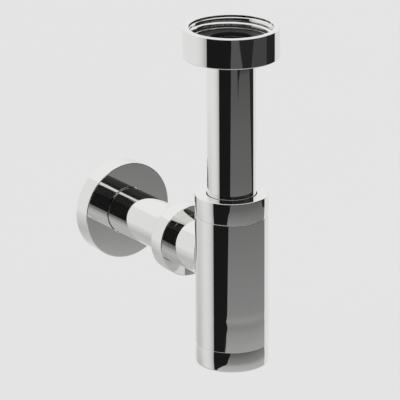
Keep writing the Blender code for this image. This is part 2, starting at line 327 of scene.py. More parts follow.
def bump(tree, height, strength, distance, onto=None):
    node = tree.nodes.new("ShaderNodeBump")
    node.inputs["Strength"].default_value = strength
    node.inputs["Distance"].default_value = distance
    link(tree, height, node.inputs["Height"])
    if onto is not None:
        link(tree, onto, node.inputs["Normal"])
    return node.outputs["Normal"]


def chrome_material(name, axis):
    """Mirror plate: fine polishing lines round the axis, a breath of cloud in the gloss."""
    material, tree, shader = new_material(name)
    coordinates, lathe_way = polar(tree, axis)
    shader.inputs["Metallic"].default_value = 1.0
    cloud = noise(tree, coordinates, 55.0, 3.0)
    colour = mix_colours(tree, cloud, (0.865, 0.865, 0.855), (0.895, 0.89, 0.88))
    link(tree, colour, shader.inputs["Base Color"])
    lines = noise(tree, lathe_way, 5200.0, 2.0, 0.6)
    smear = noise(tree, coordinates, 190.0, 4.0)
    gloss = tree.nodes.new("ShaderNodeMath")
    gloss.operation = "MULTIPLY"
    link(tree, lines, gloss.inputs[0])
    link(tree, smear, gloss.inputs[1])
    link(tree, to_range(tree, gloss.outputs[0], 0.012, 0.06, 0.1, 0.5), shader.inputs["Roughness"])
    ripple = noise(tree, coordinates, 38.0, 1.0)
    normal = bump(tree, ripple, 0.10, 0.0004)
    link(tree, bump(tree, lines, 0.015, 0.00005, normal), shader.inputs["Normal"])
    return material


def brass_material(name, axis):
    """Turned brass: tool marks round the axis, darker where it has dulled."""
    material, tree, shader = new_material(name)
    coordinates, lathe_way = polar(tree, axis)
    shader.inputs["Metallic"].default_value = 1.0
    cloud = noise(tree, coordinates, 120.0, 5.0)
    colour = mix_colours(tree, to_range(tree, cloud, 0.0, 1.0, 0.3, 0.7),
                         (0.50, 0.34, 0.14), (0.80, 0.60, 0.30))
    link(tree, colour, shader.inputs["Base Color"])
    marks = noise(tree, lathe_way, 3600.0, 1.0)
    link(tree, to_range(tree, marks, 0.18, 0.38), shader.inputs["Roughness"])
    link(tree, bump(tree, marks, 0.25, 0.0001), shader.inputs["Normal"])
    return material


def rubber_material(name):
    material, tree, shader = new_material(name)
    coordinates = tree.nodes.new("ShaderNodeTexCoord").outputs["Object"]
    grain = noise(tree, coordinates, 1400.0, 3.0)
    bloom = noise(tree, coordinates, 90.0, 4.0)
    colour = mix_colours(tree, to_range(tree, bloom, 0.0, 1.0, 0.45, 0.8),
                         (0.010, 0.010, 0.011), (0.035, 0.035, 0.036))
    link(tree, colour, shader.inputs["Base Color"])
    link(tree, to_range(tree, grain, 0.42, 0.68), shader.inputs["Roughness"])
    shader.inputs["Specular IOR Level"].default_value = 0.45
    link(tree, bump(tree, grain, 0.35, 0.0001), shader.inputs["Normal"])
    return material


def nylon_material(name):
    material, tree, shader = new_material(name)
    coordinates = tree.nodes.new("ShaderNodeTexCoord").outputs["Object"]
    cloud = noise(tree, coordinates, 160.0, 3.0)
    colour = mix_colours(tree, cloud, (0.76, 0.75, 0.70), (0.86, 0.85, 0.81))
    link(tree, colour, shader.inputs["Base Color"])
    link(tree, to_range(tree, cloud, 0.34, 0.5), shader.inputs["Roughness"])
    shader.inputs["Subsurface Weight"].default_value = 0.15
    shader.inputs["Subsurface Scale"].default_value = 0.002
    link(tree, bump(tree, noise(tree, coordinates, 900.0, 2.0), 0.15, 0.0001),
         shader.inputs["Normal"])
    return material


CHROME = chrome_material("polished_chrome", "z")
CHROME_OUTLET = chrome_material("polished_chrome_outlet", "y")
BRASS = brass_material("turned_brass", "z")
RUBBER = rubber_material("black_rubber")
NYLON = nylon_material("white_nylon")


# Inlet

def make_inlet():
    low, high = span("inlet_tube")
    tube = lathe("inlet_pipe", profile([
        (BORE, low, 0.25), (TUBE, low, 0.25), (TUBE, high, 0.3), (BORE, high, 0.06)]), CHROME)
    finish_piece(tube, "inlet", "inlet_tube")

    low, high = span("inlet_flange_ring")
    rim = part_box("inlet_flange_ring")[1].x / MM
    hole = TUBE + 0.3
    ring = lathe("inlet_flange", profile([
        (hole, low, 0.15), (rim, low, 0.3), (rim, high, 0.3), (hole, high, 0.2)]), BRASS)
    finish_piece(ring, "inlet", "inlet_flange_ring")

    low, high = span("inlet_gasket")
    hole = BORE + 0.02
    groove_in, groove_out, groove_depth = 16.3, 17.6, 0.15
    gasket = lathe("inlet_gasket_rubber", profile([
        (hole, low, 0.2), (rim, low, 0.3), (rim, high, 0.45), (groove_out, high, 0.1),
        (groove_out - groove_depth, high - groove_depth, 0.1),
        (groove_in + groove_depth, high - groove_depth, 0.1), (groove_in, high, 0.1),
        (hole, high, 0.3)]), RUBBER)
    finish_piece(gasket, "inlet", "inlet_gasket")

    low, high = span("inlet_slip_ring")
    slip = lathe("inlet_slip_washer", profile([
        (PASSAGE, low, 0.2), (rim, low, 0.25), (rim, high, 0.25), (PASSAGE, high, 0.2)]), NYLON)
    finish_piece(slip, "union_slip_ring", "inlet_slip_ring")


def make_union_nut():
    low, high = span("inlet_union_nut")
    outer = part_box("inlet_union_nut")[1].x / MM
    lip_top = low + 2.7
    broken = 0.4                        # edge of the hole for the tube
    mouth = UNION_ROOT + 0.45
    wall = mouth - 0.15                 # plain counterbore above the thread
    relief = UNION_ROOT + 0.2           # groove under the thread
    plain, chamfer, taper = 0.9, 0.35, 0.55     # depth of the wall, its lower edge, slope below
    top, bottom = high - 0.25, lip_top + 1.1
    rows = profile([(PASSAGE, low, broken), (outer, low, 0.55), (outer, high, 0.4),
                    (mouth, high, 0.12), (wall, high - 0.3)], closed=False)[:-1]
    rows[0] = (PASSAGE, low + broken, (-1.0, 0.0), (-1.0, 0.0))
    rows.insert(1, (PASSAGE + broken, low, (0.0, -1.0), (0.0, -1.0)))
    start = len(rows)
    rows += thread_rows(UNION_CREST, bottom, top, True)
    end = len(rows)
    rows += profile([(relief, bottom), (relief, lip_top, 0.3), (PASSAGE, lip_top, 0.3),
                     (PASSAGE, lip_top - 0.5)], closed=False)[1:]

    def radius_at(i, angle):
        """The thread, with a plain wall and a lead in above it and a run out into its relief."""
        if not start <= i < end:
            return None
        height = rows[i][1]
        ridge = thread_wave(height, angle, UNION_PITCH, lead=1.65, sharp=0.985)
        groove = UNION_CREST + (UNION_ROOT - UNION_CREST) * (1 - ridge)
        depth = top - height
        lead_in = (wall - chamfer * smoothstep((depth - plain) / chamfer)
                   - taper * max(0.0, depth - plain - chamfer))
        run_out = relief - max(0.0, height - bottom - 0.9) * 1.1
        return max(groove, lead_in, run_out)

    nut = lathe("union_nut_shell", rows, CHROME, radius_at=radius_at)
    finish_piece(nut, "union_nut", "inlet_union_nut")


# Bottle

def crowned(radius, crown, low, high, level, low_edge, high_edge):
    """Side of a slightly barrelled piece, fullest at level, between its two rounded edges."""
    def tilt(h):
        return unit(1.0, (h - level) / crown)

    start, stop = low + low_edge, high - high_edge
    for _ in range(4):
        start = low + low_edge * (1 + tilt(start)[1])
        stop = high - high_edge * (1 - tilt(stop)[1])
    rows = []
    for k in range(CROWN_STEPS + 1):
        h = start + (stop - start) * k / CROWN_STEPS
        n = tilt(h)
        rows.append((radius - (h - level) ** 2 / (2 * crown), h, n, n))
    return rows


def arc_rows(centre, radius, start, stop):
    """A rounded edge between two directions given in degrees from the radial one."""
    rows = []
    for k in range(FILLET_STEPS + 1):
        angle = math.radians(start + (stop - start) * k / FILLET_STEPS)
        n = (math.cos(angle), math.sin(angle))
        rows.append((centre[0] + radius * n[0], centre[1] + radius * n[1], n, n))
    return rows


def edge_onto(side_row, fillet, tilt, up):
    """Rounded edge that leaves a side at its last row and turns onto a flat end."""
    normal = side_row[2]
    centre = (side_row[0] - normal[0] * fillet, side_row[1] - normal[1] * fillet)
    return arc_rows(centre, fillet, tilt, 90.0 if up else -90.0)


def tilt_of(row):
    return math.degrees(math.atan2(row[2][1], row[2][0]))


def closure(side, bottom_edge, top_edge):
    """Rows of the outside of a cap or nut: rounded lower edge, crowned side, rounded upper edge."""
    first = list(reversed(edge_onto(side[0], bottom_edge, tilt_of(side[0]), False)))
    last = edge_onto(side[-1], top_edge, tilt_of(side[-1]), True)
    return first[:-1] + side + last[1:]


def closure_thread(start, end, rows, plain, ridge, lead=0.0):
    """radius_at for lathe: a ridge on the plain radius in rows start to end, fading out at both."""
    heights = [rows[i][1] for i in range(start, end)]
    low, high = min(heights), max(heights)

    def radius_at(i, angle):
        if not start <= i < end:
            return None
        h = rows[i][1]
        fade = smoothstep((h - low) / THREAD_FADE) * smoothstep((high - h) / THREAD_FADE)
        return plain + ridge * fade * thread_wave(h, angle, CLOSURE_PITCH, lead)
    return radius_at


def female_thread(start, end, rows, root=FEMALE_ROOT):
    return closure_thread(start, end, rows, root, -CLOSURE_RIDGE)


def male_thread(start, end, rows, land):
    """Half a pitch off the female thread, so that its ridges stand in the other's grooves."""
    return closure_thread(start, end, rows, land, CLOSURE_RIDGE, CLOSURE_PITCH / 2)


def make_cap():
    low, high = seams()[0] + SEAM_GAP / 2, span("top_cap")[1]
    top_edge, bottom_edge = 0.5, 0.2
    side = crowned(BODY, CAP_CROWN, low, high, low + 0.563 * (high - low), bottom_edge, top_edge)
    rows = closure(side, bottom_edge, top_edge)
    ceiling = high - 2.2
    rows += profile([(18.0, high), (PASSAGE, high, 0.15), (PASSAGE, ceiling, 0.25),
                     (FEMALE_ROOT, ceiling)], closed=False)[1:]
    start = len(rows)
    rows += thread_rows(FEMALE_ROOT, low + 0.9, ceiling - 0.3, True)
    end = len(rows)
    rows += profile([(FEMALE_ROOT, low + 0.85), (FEMALE_ROOT + 0.35, low)], closed=False)
    cap = lathe("cap_shell", rows, CHROME, radius_at=female_thread(start, end, rows))
    finish_piece(cap, "cap", "top_cap")


def make_gland():
    low, high = span("tube_thrust_ring")
    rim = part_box("tube_thrust_ring")[1].x / MM
    ring = lathe("tube_thrust_washer", profile([
        (PASSAGE, low, 0.2), (rim, low, 0.25), (rim, high, 0.35), (PASSAGE, high, 0.2)]), NYLON)
    finish_piece(ring, "cap_thrust_ring", "tube_thrust_ring")

    low, high = span("tube_seal")
    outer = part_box("tube_seal")[1].x / MM
    inner = TUBE + SEAL_GAP
    waist = inner + 0.25                # groove between the two lips that grip the tube
    seal = lathe("tube_seal_rubber", profile([
        (inner + 0.05, low, 0.5), (outer - 0.35, low, 0.6), (outer, low + 1.6, 0.8),
        (outer, high, 0.8), (inner, high, 0.4), (inner, high - 1.2, 0.3),
        (waist, high - 1.6, 0.3), (waist, low + 1.3, 0.3), (inner, low + 0.9, 0.3)]), RUBBER)
    finish_piece(seal, "gland_seal", "tube_seal")


def make_top_ring():
    low, high = span("top_thread_ring")
    seam = seams()[0]
    land, tail = MALE_LAND, CHAMBER - 0.3
    chamfer = 0.35
    floor = span("tube_seal")[0] - SEAL_GAP
    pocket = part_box("tube_seal")[1].x / MM + SEAL_GAP
    rows = profile([(PASSAGE, floor), (PASSAGE, low, 0.4), (tail, low, 0.5), (tail, seam, 0.1),
                    (land, seam), (land, seam + 0.3)], closed=False)[:-1]
    start = len(rows)
    rows += thread_rows(land, seam + 0.15, high - chamfer, False)
    end = len(rows)
    rows += profile([(land, high - chamfer), (land - chamfer, high), (pocket, high, 0.3),
                     (pocket, floor), (PASSAGE, floor)], closed=False)[1:-1]
    ring = lathe("gland_spigot", rows, BRASS, radius_at=male_thread(start, end, rows, land))
    finish_piece(ring, "bottle", "top_thread_ring")


def make_bottom_ring():
    low, high = span("bottom_thread_ring")
    seam = seams()[1]
    land, tail = MALE_LAND, CHAMBER - 0.3
    chamfer = 0.35
    rows = profile([(CUP_BORE, high, 0.4), (CUP_BORE, low, 0.3), (land - chamfer, low),
                    (land, low + chamfer)], closed=False)[:-1]
    start = len(rows)
    rows += thread_rows(land, low + chamfer, seam - 0.15, False)
    end = len(rows)
    rows += profile([(land, seam - 0.1), (land, seam), (tail, seam, 0.1), (tail, high, 0.5),
                     (CUP_BORE, high)], closed=False)[1:-1]
    ring = lathe("cup_spigot", rows, BRASS, radius_at=male_thread(start, end, rows, land))
    finish_piece(ring, "bottle", "bottom_thread_ring")


def make_cup():
    low, high = span("bottom_cup")[0], seams()[1] - SEAM_GAP / 2
    edge, foot = 0.2, 0.9
    side = crowned(BODY, CUP_CROWN, low, high, low + 0.33 * (high - low), foot, edge)
    ledge_low, ledge_high = span("cup_gasket")
    step, floor = ledge_low - 0.3, low + 1.8
    flat = (0.0, -1.0)
    rows = [(0.0, low, flat, flat), (14.0, low, flat, flat)]
    rows += closure(side, foot, edge)
    rows += profile([(18.0, high), (FEMALE_ROOT + 0.35, high),
                     (FEMALE_ROOT, high - 0.85)], closed=False)[1:]
    start = len(rows)
    rows += thread_rows(FEMALE_ROOT, ledge_high + 0.5, high - 0.9, True)
    end = len(rows)
    rows += profile([(FEMALE_ROOT, ledge_high + 0.45), (FEMALE_ROOT, step, 0.2),
                     (CUP_BORE, step, 0.3), (CUP_BORE, floor, 1.6), (0.0, floor)], closed=False)
    cup = lathe("cup_shell", rows, CHROME, closed=False, radius_at=female_thread(start, end, rows))
    finish_piece(cup, "cup", "bottom_cup")

    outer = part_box("cup_gasket")[1].x / MM
    gasket = lathe("cup_gasket_rubber", profile([
        (CUP_BORE, ledge_low, 0.3), (outer, ledge_low, 0.4), (outer, ledge_high, 0.4),
        (CUP_BORE, ledge_high, 0.3)]), RUBBER)
    finish_piece(gasket, "cup_seal", "cup_gasket")


# The bottle's shell: a cylinder that flows into its neck

NECK_COLUMNS = 30       # columns of the shell on each side of the neck
NECK_ROWS = 26          # rows of the shell from below the neck to above it
PATCH_BELOW = 26.4      # reach of those rows from the neck's axis
PATCH_ABOVE = 20.6
PATCH_RINGS = 9         # rings between those rows and the blend
BLEND_STEPS = 14        # rings along the blend


def fillet_size(angle):
    """Radius of the blend round the neck, fuller underneath."""
    down, up = max(0.0, -math.sin(angle)), max(0.0, math.sin(angle))
    return 4.6 + 5.4 * down ** 1.2 - 2.8 * up ** 1.2


def neck_blend(angle):
    """Centre of the rolling ball and its two touching points, in mm, round the neck at angle."""
    ball = fillet_size(angle)
    x = (NECK + ball) * math.cos(angle)
    z = (NECK + ball) * math.sin(angle)
    y = math.sqrt((BODY + ball) ** 2 - x * x)
    centre = np.array([x, y, z])
    on_neck = np.array([NECK * math.cos(angle), y, NECK * math.sin(angle)])
    on_body = np.array([x * BODY / (BODY + ball), y * BODY / (BODY + ball), z])
    return centre, on_neck, on_body, ball


def make_shell():
    low, high = seams()[1] + SEAM_GAP / 2, seams()[0] - SEAM_GAP / 2
    neck_end = span("outlet_thread_ring", "y")[0] - SEAM_GAP
    edge = 0.25
    segments = SEGMENTS
    step = 2 * math.pi / segments
    half = NECK_COLUMNS
    z_low, z_high = OUTLET_Z - PATCH_BELOW, OUTLET_Z + PATCH_ABOVE
    rows_in = NECK_ROWS
    columns = [(-half + j) * step for j in range(segments)]     # azimuth from +Y towards +X
    patch_z = [z_low + (z_high - z_low) * k / rows_in for k in range(rows_in + 1)]
    positions, normals_at = [], []

    def vertex(p, n):
        positions.append(tuple(float(v) * MM for v in p))
        normals_at.append(tuple(float(v) for v in n))
        return len(positions) - 1

    def wave(z):
        """The plate is drawn a hair thinner over the brazed lower ring."""
        depth, width = 0.035, 2.6
        d = (z - (low + 15.5)) / width
        return -depth * math.exp(-d * d), depth * 2 * d / width * math.exp(-d * d)

    def on_side(azimuth, z, radius, outward):
        off, slope = wave(z) if outward > 0 else (0.0, 0.0)
        r = radius + off
        n = unit(1.0, -slope)
        s, c = math.sin(azimuth), math.cos(azimuth)
        return vertex((r * s, r * c, z), (outward * n[0] * s, outward * n[0] * c, outward * n[1]))

    faces, corner_normals = [], []

    def face(ids, normals=None):
        faces.append(ids)
        corner_normals.extend(normals if normals else [normals_at[i] for i in ids])

    def side_grid(radius, outward, z_bottom, z_top):
        """A cylinder from z_bottom to z_top with a rectangle left out for the neck; returns its
        lower ring, its upper ring and the rectangle's rim, anticlockwise seen from +Y."""
        below = [z_bottom + (z_low - z_bottom) * k / 12 for k in range(12)]
        above = [z_high + (z_top - z_high) * k / 3 for k in range(1, 4)]
        levels = below + patch_z + above
        first = len(below)
        grid = []
        for r, z in enumerate(levels):
            inside = first < r < first + rows_in
            grid.append([None if inside and 0 < j < 2 * half
                         else on_side(columns[j], z, radius, outward) for j in range(segments)])
        for r in range(len(levels) - 1):
            in_patch = first <= r < first + rows_in
            for j in range(segments):
                if in_patch and 0 <= j < 2 * half:
                    continue
                k = (j + 1) % segments
                ids = [grid[r][j], grid[r + 1][j], grid[r + 1][k], grid[r][k]]
                face(ids if outward > 0 else ids[::-1])
        rim = [grid[r][2 * half] for r in range(first + rows_in // 2, first + rows_in)]
        rim += [grid[first + rows_in][j] for j in range(2 * half, 0, -1)]
        rim += [grid[r][0] for r in range(first + rows_in, first, -1)]
        rim += [grid[first][j] for j in range(0, 2 * half)]
        rim += [grid[r][2 * half] for r in range(first, first + rows_in // 2)]
        return grid[0], grid[-1], rim

    def rim_angle(index):
        x, y, z = (v / MM for v in positions[index])
        return math.atan2(z - OUTLET_Z, math.atan2(x, y) * BODY)

    def strip(a, b, flip):
        count = len(a)
        for i in range(count):
            k = (i + 1) % count
            ids = [a[i], b[i], b[k], a[k]]
            face(ids[::-1] if flip else ids)

    # outside
    bottom_out, top_out, rim_out = side_grid(BODY, 1.0, low + edge, high - edge)
    angles = [rim_angle(i) for i in rim_out]
    blends = [neck_blend(a) for a in angles]
    rings = [rim_out]
    for k in range(1, PATCH_RINGS + 1):
        t = k / PATCH_RINGS
        ring = []
        for i, index in enumerate(rim_out):
            x, y, z = (v / MM for v in positions[index])
            azimuth, target = math.atan2(x, y), blends[i][2]
            goal = math.atan2(target[0], target[1])
            z_goal = target[2] + OUTLET_Z
            ring.append(on_side(azimuth + (goal - azimuth) * t, z + (z_goal - z) * t, BODY, 1.0))
        rings.append(ring)
    for a, b in zip(rings, rings[1:]):
        strip(a, b, False)
    ring = rings[-1]
    for k in range(1, BLEND_STEPS + 1):
        t = k / BLEND_STEPS
        following = []
        for centre, on_neck, on_body, ball in blends:
            a, b = (on_body - centre) / ball, (on_neck - centre) / ball
            swing = math.acos(max(-1.0, min(1.0, float(a @ b))))
            n = (math.sin((1 - t) * swing) * a + math.sin(t * swing) * b) / math.sin(swing)
            p = centre + ball * n
            following.append(vertex((p[0], p[1], p[2] + OUTLET_Z), -n))
        strip(ring, following, False)
        ring = following

    # neck, its end and its bore
    def neck_ring(radius, y, n_r, n_y):
        return [vertex((radius * math.cos(a), y, OUTLET_Z + radius * math.sin(a)),
                       (n_r * math.cos(a), n_y, n_r * math.sin(a))) for a in angles]

    corner = 0.1
    previous = ring
    for k in range(1, 5):
        t = k / 4
        following = [vertex((NECK * math.cos(a), b[1][1] + (neck_end - corner - b[1][1]) * t,
                             OUTLET_Z + NECK * math.sin(a)), (math.cos(a), 0.0, math.sin(a)))
                     for a, b in zip(angles, blends)]
        strip(previous, following, False)
        previous = following
    for k in range(1, RIM_STEPS + 1):
        t = math.pi / 2 * k / RIM_STEPS
        following = neck_ring(NECK - corner + corner * math.cos(t),
                              neck_end - corner + corner * math.sin(t), math.cos(t), math.sin(t))
        strip(previous, following, False)
        previous = following
    flat_end = neck_ring(PASSAGE, neck_end, 0.0, 1.0)
    strip(previous, flat_end, False)
    previous = neck_ring(PASSAGE, neck_end, -1.0, 0.0)
    bore_seam = (flat_end, previous)
    inner_curve = [(PASSAGE * math.cos(a), math.sqrt(CHAMBER ** 2 - (PASSAGE * math.cos(a)) ** 2),
                    PASSAGE * math.sin(a)) for a in angles]
    last = [vertex((x, y, z + OUTLET_Z), (-math.cos(a), 0.0, -math.sin(a)))
            for (x, y, z), a in zip(inner_curve, angles)]
    strip(previous, last, False)

    # inside
    bottom_in, top_in, rim_in = side_grid(CHAMBER, -1.0, low, high)
    rings = [rim_in]
    for k in range(1, PATCH_RINGS + 1):
        t = k / PATCH_RINGS
        ring = []
        for i, index in enumerate(rim_in):
            x, y, z = (v / MM for v in positions[index])
            azimuth, target = math.atan2(x, y), inner_curve[i]
            goal = math.atan2(target[0], target[1])
            ring.append(on_side(azimuth + (goal - azimuth) * t, z + (target[2] + OUTLET_Z - z) * t,
                                CHAMBER, -1.0))
        rings.append(ring)
    for a, b in zip(rings, rings[1:]):
        strip(a, b, True)
    inner_seam = (last, rings[-1])

    # upper and lower rims
    def end_rim(outer_ring, inner_ring, level, way):
        """Rounded outer edge, then a flat end down to the chamber."""
        previous_ring = outer_ring
        for k in range(1, RIM_STEPS + 1):
            t = math.pi / 2 * k / RIM_STEPS
            r = BODY - edge + edge * math.cos(t)
            z = level - way * edge + way * edge * math.sin(t)
            following_ring = [vertex((r * math.sin(a), r * math.cos(a), z),
                                     (math.cos(t) * math.sin(a), math.cos(t) * math.cos(a),
                                      way * math.sin(t))) for a in columns]
            strip(previous_ring, following_ring, way < 0)
            previous_ring = following_ring
        for i in range(segments):
            k = (i + 1) % segments
            ids = [previous_ring[i], inner_ring[i], inner_ring[k], previous_ring[k]]
            face(ids[::-1] if way < 0 else ids, [(0.0, 0.0, way)] * 4)

    end_rim(top_out, top_in, high, 1.0)
    end_rim(bottom_out, bottom_in, low, -1.0)

    # weld the doubled rings
    same = {}
    for keep, drop in (bore_seam, inner_seam):
        for a, b in zip(keep, drop):
            same[b] = a
    faces[:] = [[same.get(i, i) for i in ids] for ids in faces]
    used = sorted({i for ids in faces for i in ids})
    number = {old: new for new, old in enumerate(used)}
    shell = build("bottle_shell", [positions[i] for i in used],
                  [[number[i] for i in ids] for ids in faces], corner_normals, CHROME)
    finish_piece(shell, "bottle", "trap_body")


# Outlet

def make_outlet_ring():
    low, high = span("outlet_thread_ring", "y")
    flange, flange_end = OUTLET_NUT_BORE - SEAM_GAP, low + 1.2
    land, chamfer = OUTLET_LAND, 0.3
    floor = span("outlet_cone_seal", "y")[0] - SEAL_GAP
    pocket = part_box("outlet_cone_seal")[1].x / MM + SEAL_GAP
    rows = profile([(PASSAGE, floor), (PASSAGE, low, 0.2), (flange, low),
                    (flange, flange_end, 0.1), (land, flange_end), (land, flange_end + 0.3)],
                   closed=False)[:-1]
    start = len(rows)
    rows += thread_rows(land, flange_end + 0.1, high - chamfer, False)
    end = len(rows)
    rows += profile([(land, high - chamfer), (land - chamfer, high), (pocket, high, 0.2),
                     (pocket, floor), (PASSAGE, floor)], closed=False)[1:-1]
    ring = lathe("neck_spigot", rows, CHROME_OUTLET, axis="y",
                 radius_at=male_thread(start, end, rows, land))
    finish_piece(ring, "bottle", "outlet_thread_ring")


def make_outlet_nut():
    low, high = span("outlet_union_nut", "y")
    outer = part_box("outlet_union_nut")[1].x / MM
    bore, lip = OUTLET_NUT_BORE, high - 1.35
    edge = 0.5
    side = crowned(outer, OUTLET_NUT_CROWN, low, high, low + 0.6 * (high - low), edge, edge)
    rows = closure(side, edge, edge)
    rows += profile([(18.0, high), (PASSAGE, high, 0.4), (PASSAGE, lip, 0.25), (bore, lip)],
                    closed=False)[1:]
    start = len(rows)
    rows += thread_rows(bore, low + 1.4, lip - 0.3, True)
    end = len(rows)
    rows += profile([(bore, low + 1.3), (bore, low), (18.0, low)], closed=False)[:-1]
    nut = lathe("outlet_nut_shell", rows, CHROME_OUTLET, axis="y",
                radius_at=female_thread(start, end, rows, bore))
    finish_piece(nut, "outlet_nut", "outlet_union_nut")

    low, high = span("outlet_cone_seal", "y")
    rim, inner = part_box("outlet_cone_seal")[1].x / MM, TUBE + SEAL_GAP
    seal = lathe("outlet_seal_rubber", profile([
        (inner, low, 0.2), (rim - 0.3, low, 0.3), (rim, low + 1.2, 0.5), (rim, high, 0.4),
        (inner, high, 0.3)]), RUBBER, axis="y")
    finish_piece(seal, "pipe_seal", "outlet_cone_seal")

    low, high = span("outlet_thrust_ring", "y")
    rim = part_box("outlet_thrust_ring")[1].x / MM
    ring = lathe("outlet_thrust_washer", profile([
        (PASSAGE, low, 0.15), (rim, low, 0.2), (rim, high, 0.2), (PASSAGE, high, 0.15)]),
        NYLON, axis="y")
    finish_piece(ring, "nut_thrust_ring", "outlet_thrust_ring")


def make_pipe():
    low, high = span("wall_pipe", "y")
    pipe = lathe("wall_pipe_tube", profile([
        (BORE, low, 0.25), (TUBE, low, 0.3), (TUBE, high, 0.35), (BORE, high, 0.3)]),
        CHROME_OUTLET, axis="y")
    finish_piece(pipe, "pipe", "wall_pipe")


def make_rosette():
    low, high = span("wall_rosette", "y")
    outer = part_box("wall_rosette")[1].x / MM
    wall, hub_bore, hub_depth = 1.2, 14.9, 3.9
    hole = TUBE + 0.22
    hub_rim = hub_bore + wall
    back, hub_end = low + wall, low + wall + hub_depth
    rosette = lathe("rosette_shell", profile([
        (outer - wall, back, 1.0), (hub_rim, back, 0.5), (hub_rim, hub_end, 0.3),
        (hub_bore, hub_end, 0.25), (hub_bore, back), (hole, back), (hole, low, 0.3),
        (outer, low, 0.5), (outer, high, 0.3), (outer - wall, high, 0.3)]),
        CHROME_OUTLET, axis="y")
    finish_piece(rosette, "rosette", "wall_rosette")

    low, high = span("rosette_grip_ring", "y")
    rim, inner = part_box("rosette_grip_ring")[1].x / MM, TUBE + SEAL_GAP + 0.1
    grip = lathe("rosette_grip_rubber", profile([
        (inner, low, 0.5), (rim, low, 0.6), (rim, high, 0.7), (inner, high, 0.5)]),
        RUBBER, axis="y")
    finish_piece(grip, "rosette_grip", "rosette_grip_ring")


for make in (make_inlet, make_union_nut, make_cap, make_gland, make_top_ring, make_shell,
             make_bottom_ring, make_cup, make_outlet_ring, make_outlet_nut, make_pipe, make_rosette):
    make()


# Studio: pale floor, soft white light and dark cards that only the plate mirrors

FLOOR_Z = -0.45         # metres, as every length from here on
FACING = -34.6          # azimuth from which the camera looks, degrees
CARD_RADIUS = 0.50
CARD_FOOT, CARD_HEAD = FLOOR_Z + 0.005, 0.48
BEHIND = 0.002          # step back of a card that stands behind another


def staged(name, positions, faces, material):
    mesh = bpy.data.meshes.new(name)
    mesh.from_pydata(positions, [], faces)
    mesh.materials.append(material)
    thing = bpy.data.objects.new(name, mesh)
    bpy.context.scene.collection.objects.link(thing)
    return thing


def make_floor():
    material, tree, shader = new_material("studio_floor")
    coordinates = tree.nodes.new("ShaderNodeTexCoord").outputs["Object"]
    colour = mix_colours(tree, noise(tree, coordinates, 3.0, 3.0), (0.79, 0.79, 0.79),
                         (0.80, 0.80, 0.80))
    link(tree, colour, shader.inputs["Base Color"])
    shader.inputs["Roughness"].default_value = 1.0
    shader.inputs["Specular IOR Level"].default_value = 0.0
    size = 30.0
    staged("studio_floor", [(-size, -size, FLOOR_Z), (size, -size, FLOOR_Z),
                            (size, size, FLOOR_Z), (-size, size, FLOOR_Z)], [(0, 1, 2, 3)], material)


def emission(name):
    """A glowing material: its tree, its emission node and its own coordinates split in three."""
    material = bpy.data.materials.new(name)
    material.use_nodes = True
    tree = material.node_tree
    tree.nodes.remove(tree.nodes["Principled BSDF"])
    glow = tree.nodes.new("ShaderNodeEmission")
    link(tree, glow.outputs[0], tree.nodes["Material Output"].inputs["Surface"])
    split = tree.nodes.new("ShaderNodeSeparateXYZ")
    link(tree, tree.nodes.new("ShaderNodeTexCoord").outputs["Object"], split.inputs[0])
    return material, tree, glow, split


def ramp(tree, value, stops):
    """Straight-line curve through stops (value, result)."""
    first, last = stops[0][0], stops[-1][0]
    node = tree.nodes.new("ShaderNodeValToRGB")
    link(tree, to_range(tree, value, 0.0, 1.0, first, last), node.inputs["Fac"])
    elements = node.color_ramp.elements
    while len(elements) < len(stops):
        elements.new(0.5)
    for element, (at, result) in zip(elements, stops):
        element.position = (at - first) / (last - first)
        element.color = (result, result, result, 1.0)
    return node.outputs["Color"]


def math_node(tree, operation, *values):
    node = tree.nodes.new("ShaderNodeMath")
    node.operation = operation
    for socket, value in zip(node.inputs, values):
        if isinstance(value, float):
            socket.default_value = value
        else:
            link(tree, value, socket)
    return node.outputs[0]


def even_glow(name, value):
    material, _, glow, _ = emission(name)
    glow.inputs["Color"].default_value = (value, value, value, 1.0)
    return material


def upright_glow(name, stops):
    """Light that changes with height only."""
    material, tree, glow, split = emission(name)
    link(tree, ramp(tree, split.outputs["Z"], stops), glow.inputs["Color"])
    return material


def side_glow(name):
    """The white side of the studio: soft at its dark end, greyer low down and far round."""
    material, tree, glow, split = emission(name)
    azimuth = math_node(tree, "ARCTAN2", split.outputs["X"],
                        math_node(tree, "MULTIPLY", split.outputs["Y"], -1.0))
    turned = math_node(tree, "SUBTRACT", azimuth, math.radians(FACING))
    degrees = math_node(tree, "MULTIPLY", turned, 180 / math.pi)
    around = math_node(tree, "WRAP", degrees, 0.0, -360.0)
    edge = ramp(tree, around, [(-90.0, 0.80), (-82.0, 0.77), (-75.0, 0.72), (-70.0, 0.66),
                               (-65.0, 0.55), (-59.0, 0.42)])
    shade = ramp(tree, around, [(-168.0, 0.0), (-148.0, 0.22), (-130.0, 0.34), (-120.0, 0.34),
                                (-112.0, 0.26), (-100.0, 0.12), (-88.0, 0.05), (-70.0, 0.0)])
    depth = ramp(tree, split.outputs["Z"], [(-0.42, 1.0), (-0.36, 1.0), (-0.30, 0.72),
                                            (-0.235, 0.48), (-0.185, 0.0)])
    dim = math_node(tree, "SUBTRACT", 1.0, math_node(tree, "MULTIPLY", shade, depth))
    link(tree, math_node(tree, "MULTIPLY", edge, dim), glow.inputs["Color"])
    return material


def stage_only_mirrored(thing):
    thing.visible_camera = False
    thing.visible_diffuse = False
    thing.visible_shadow = False
    thing.visible_transmission = False
    thing.visible_volume_scatter = False


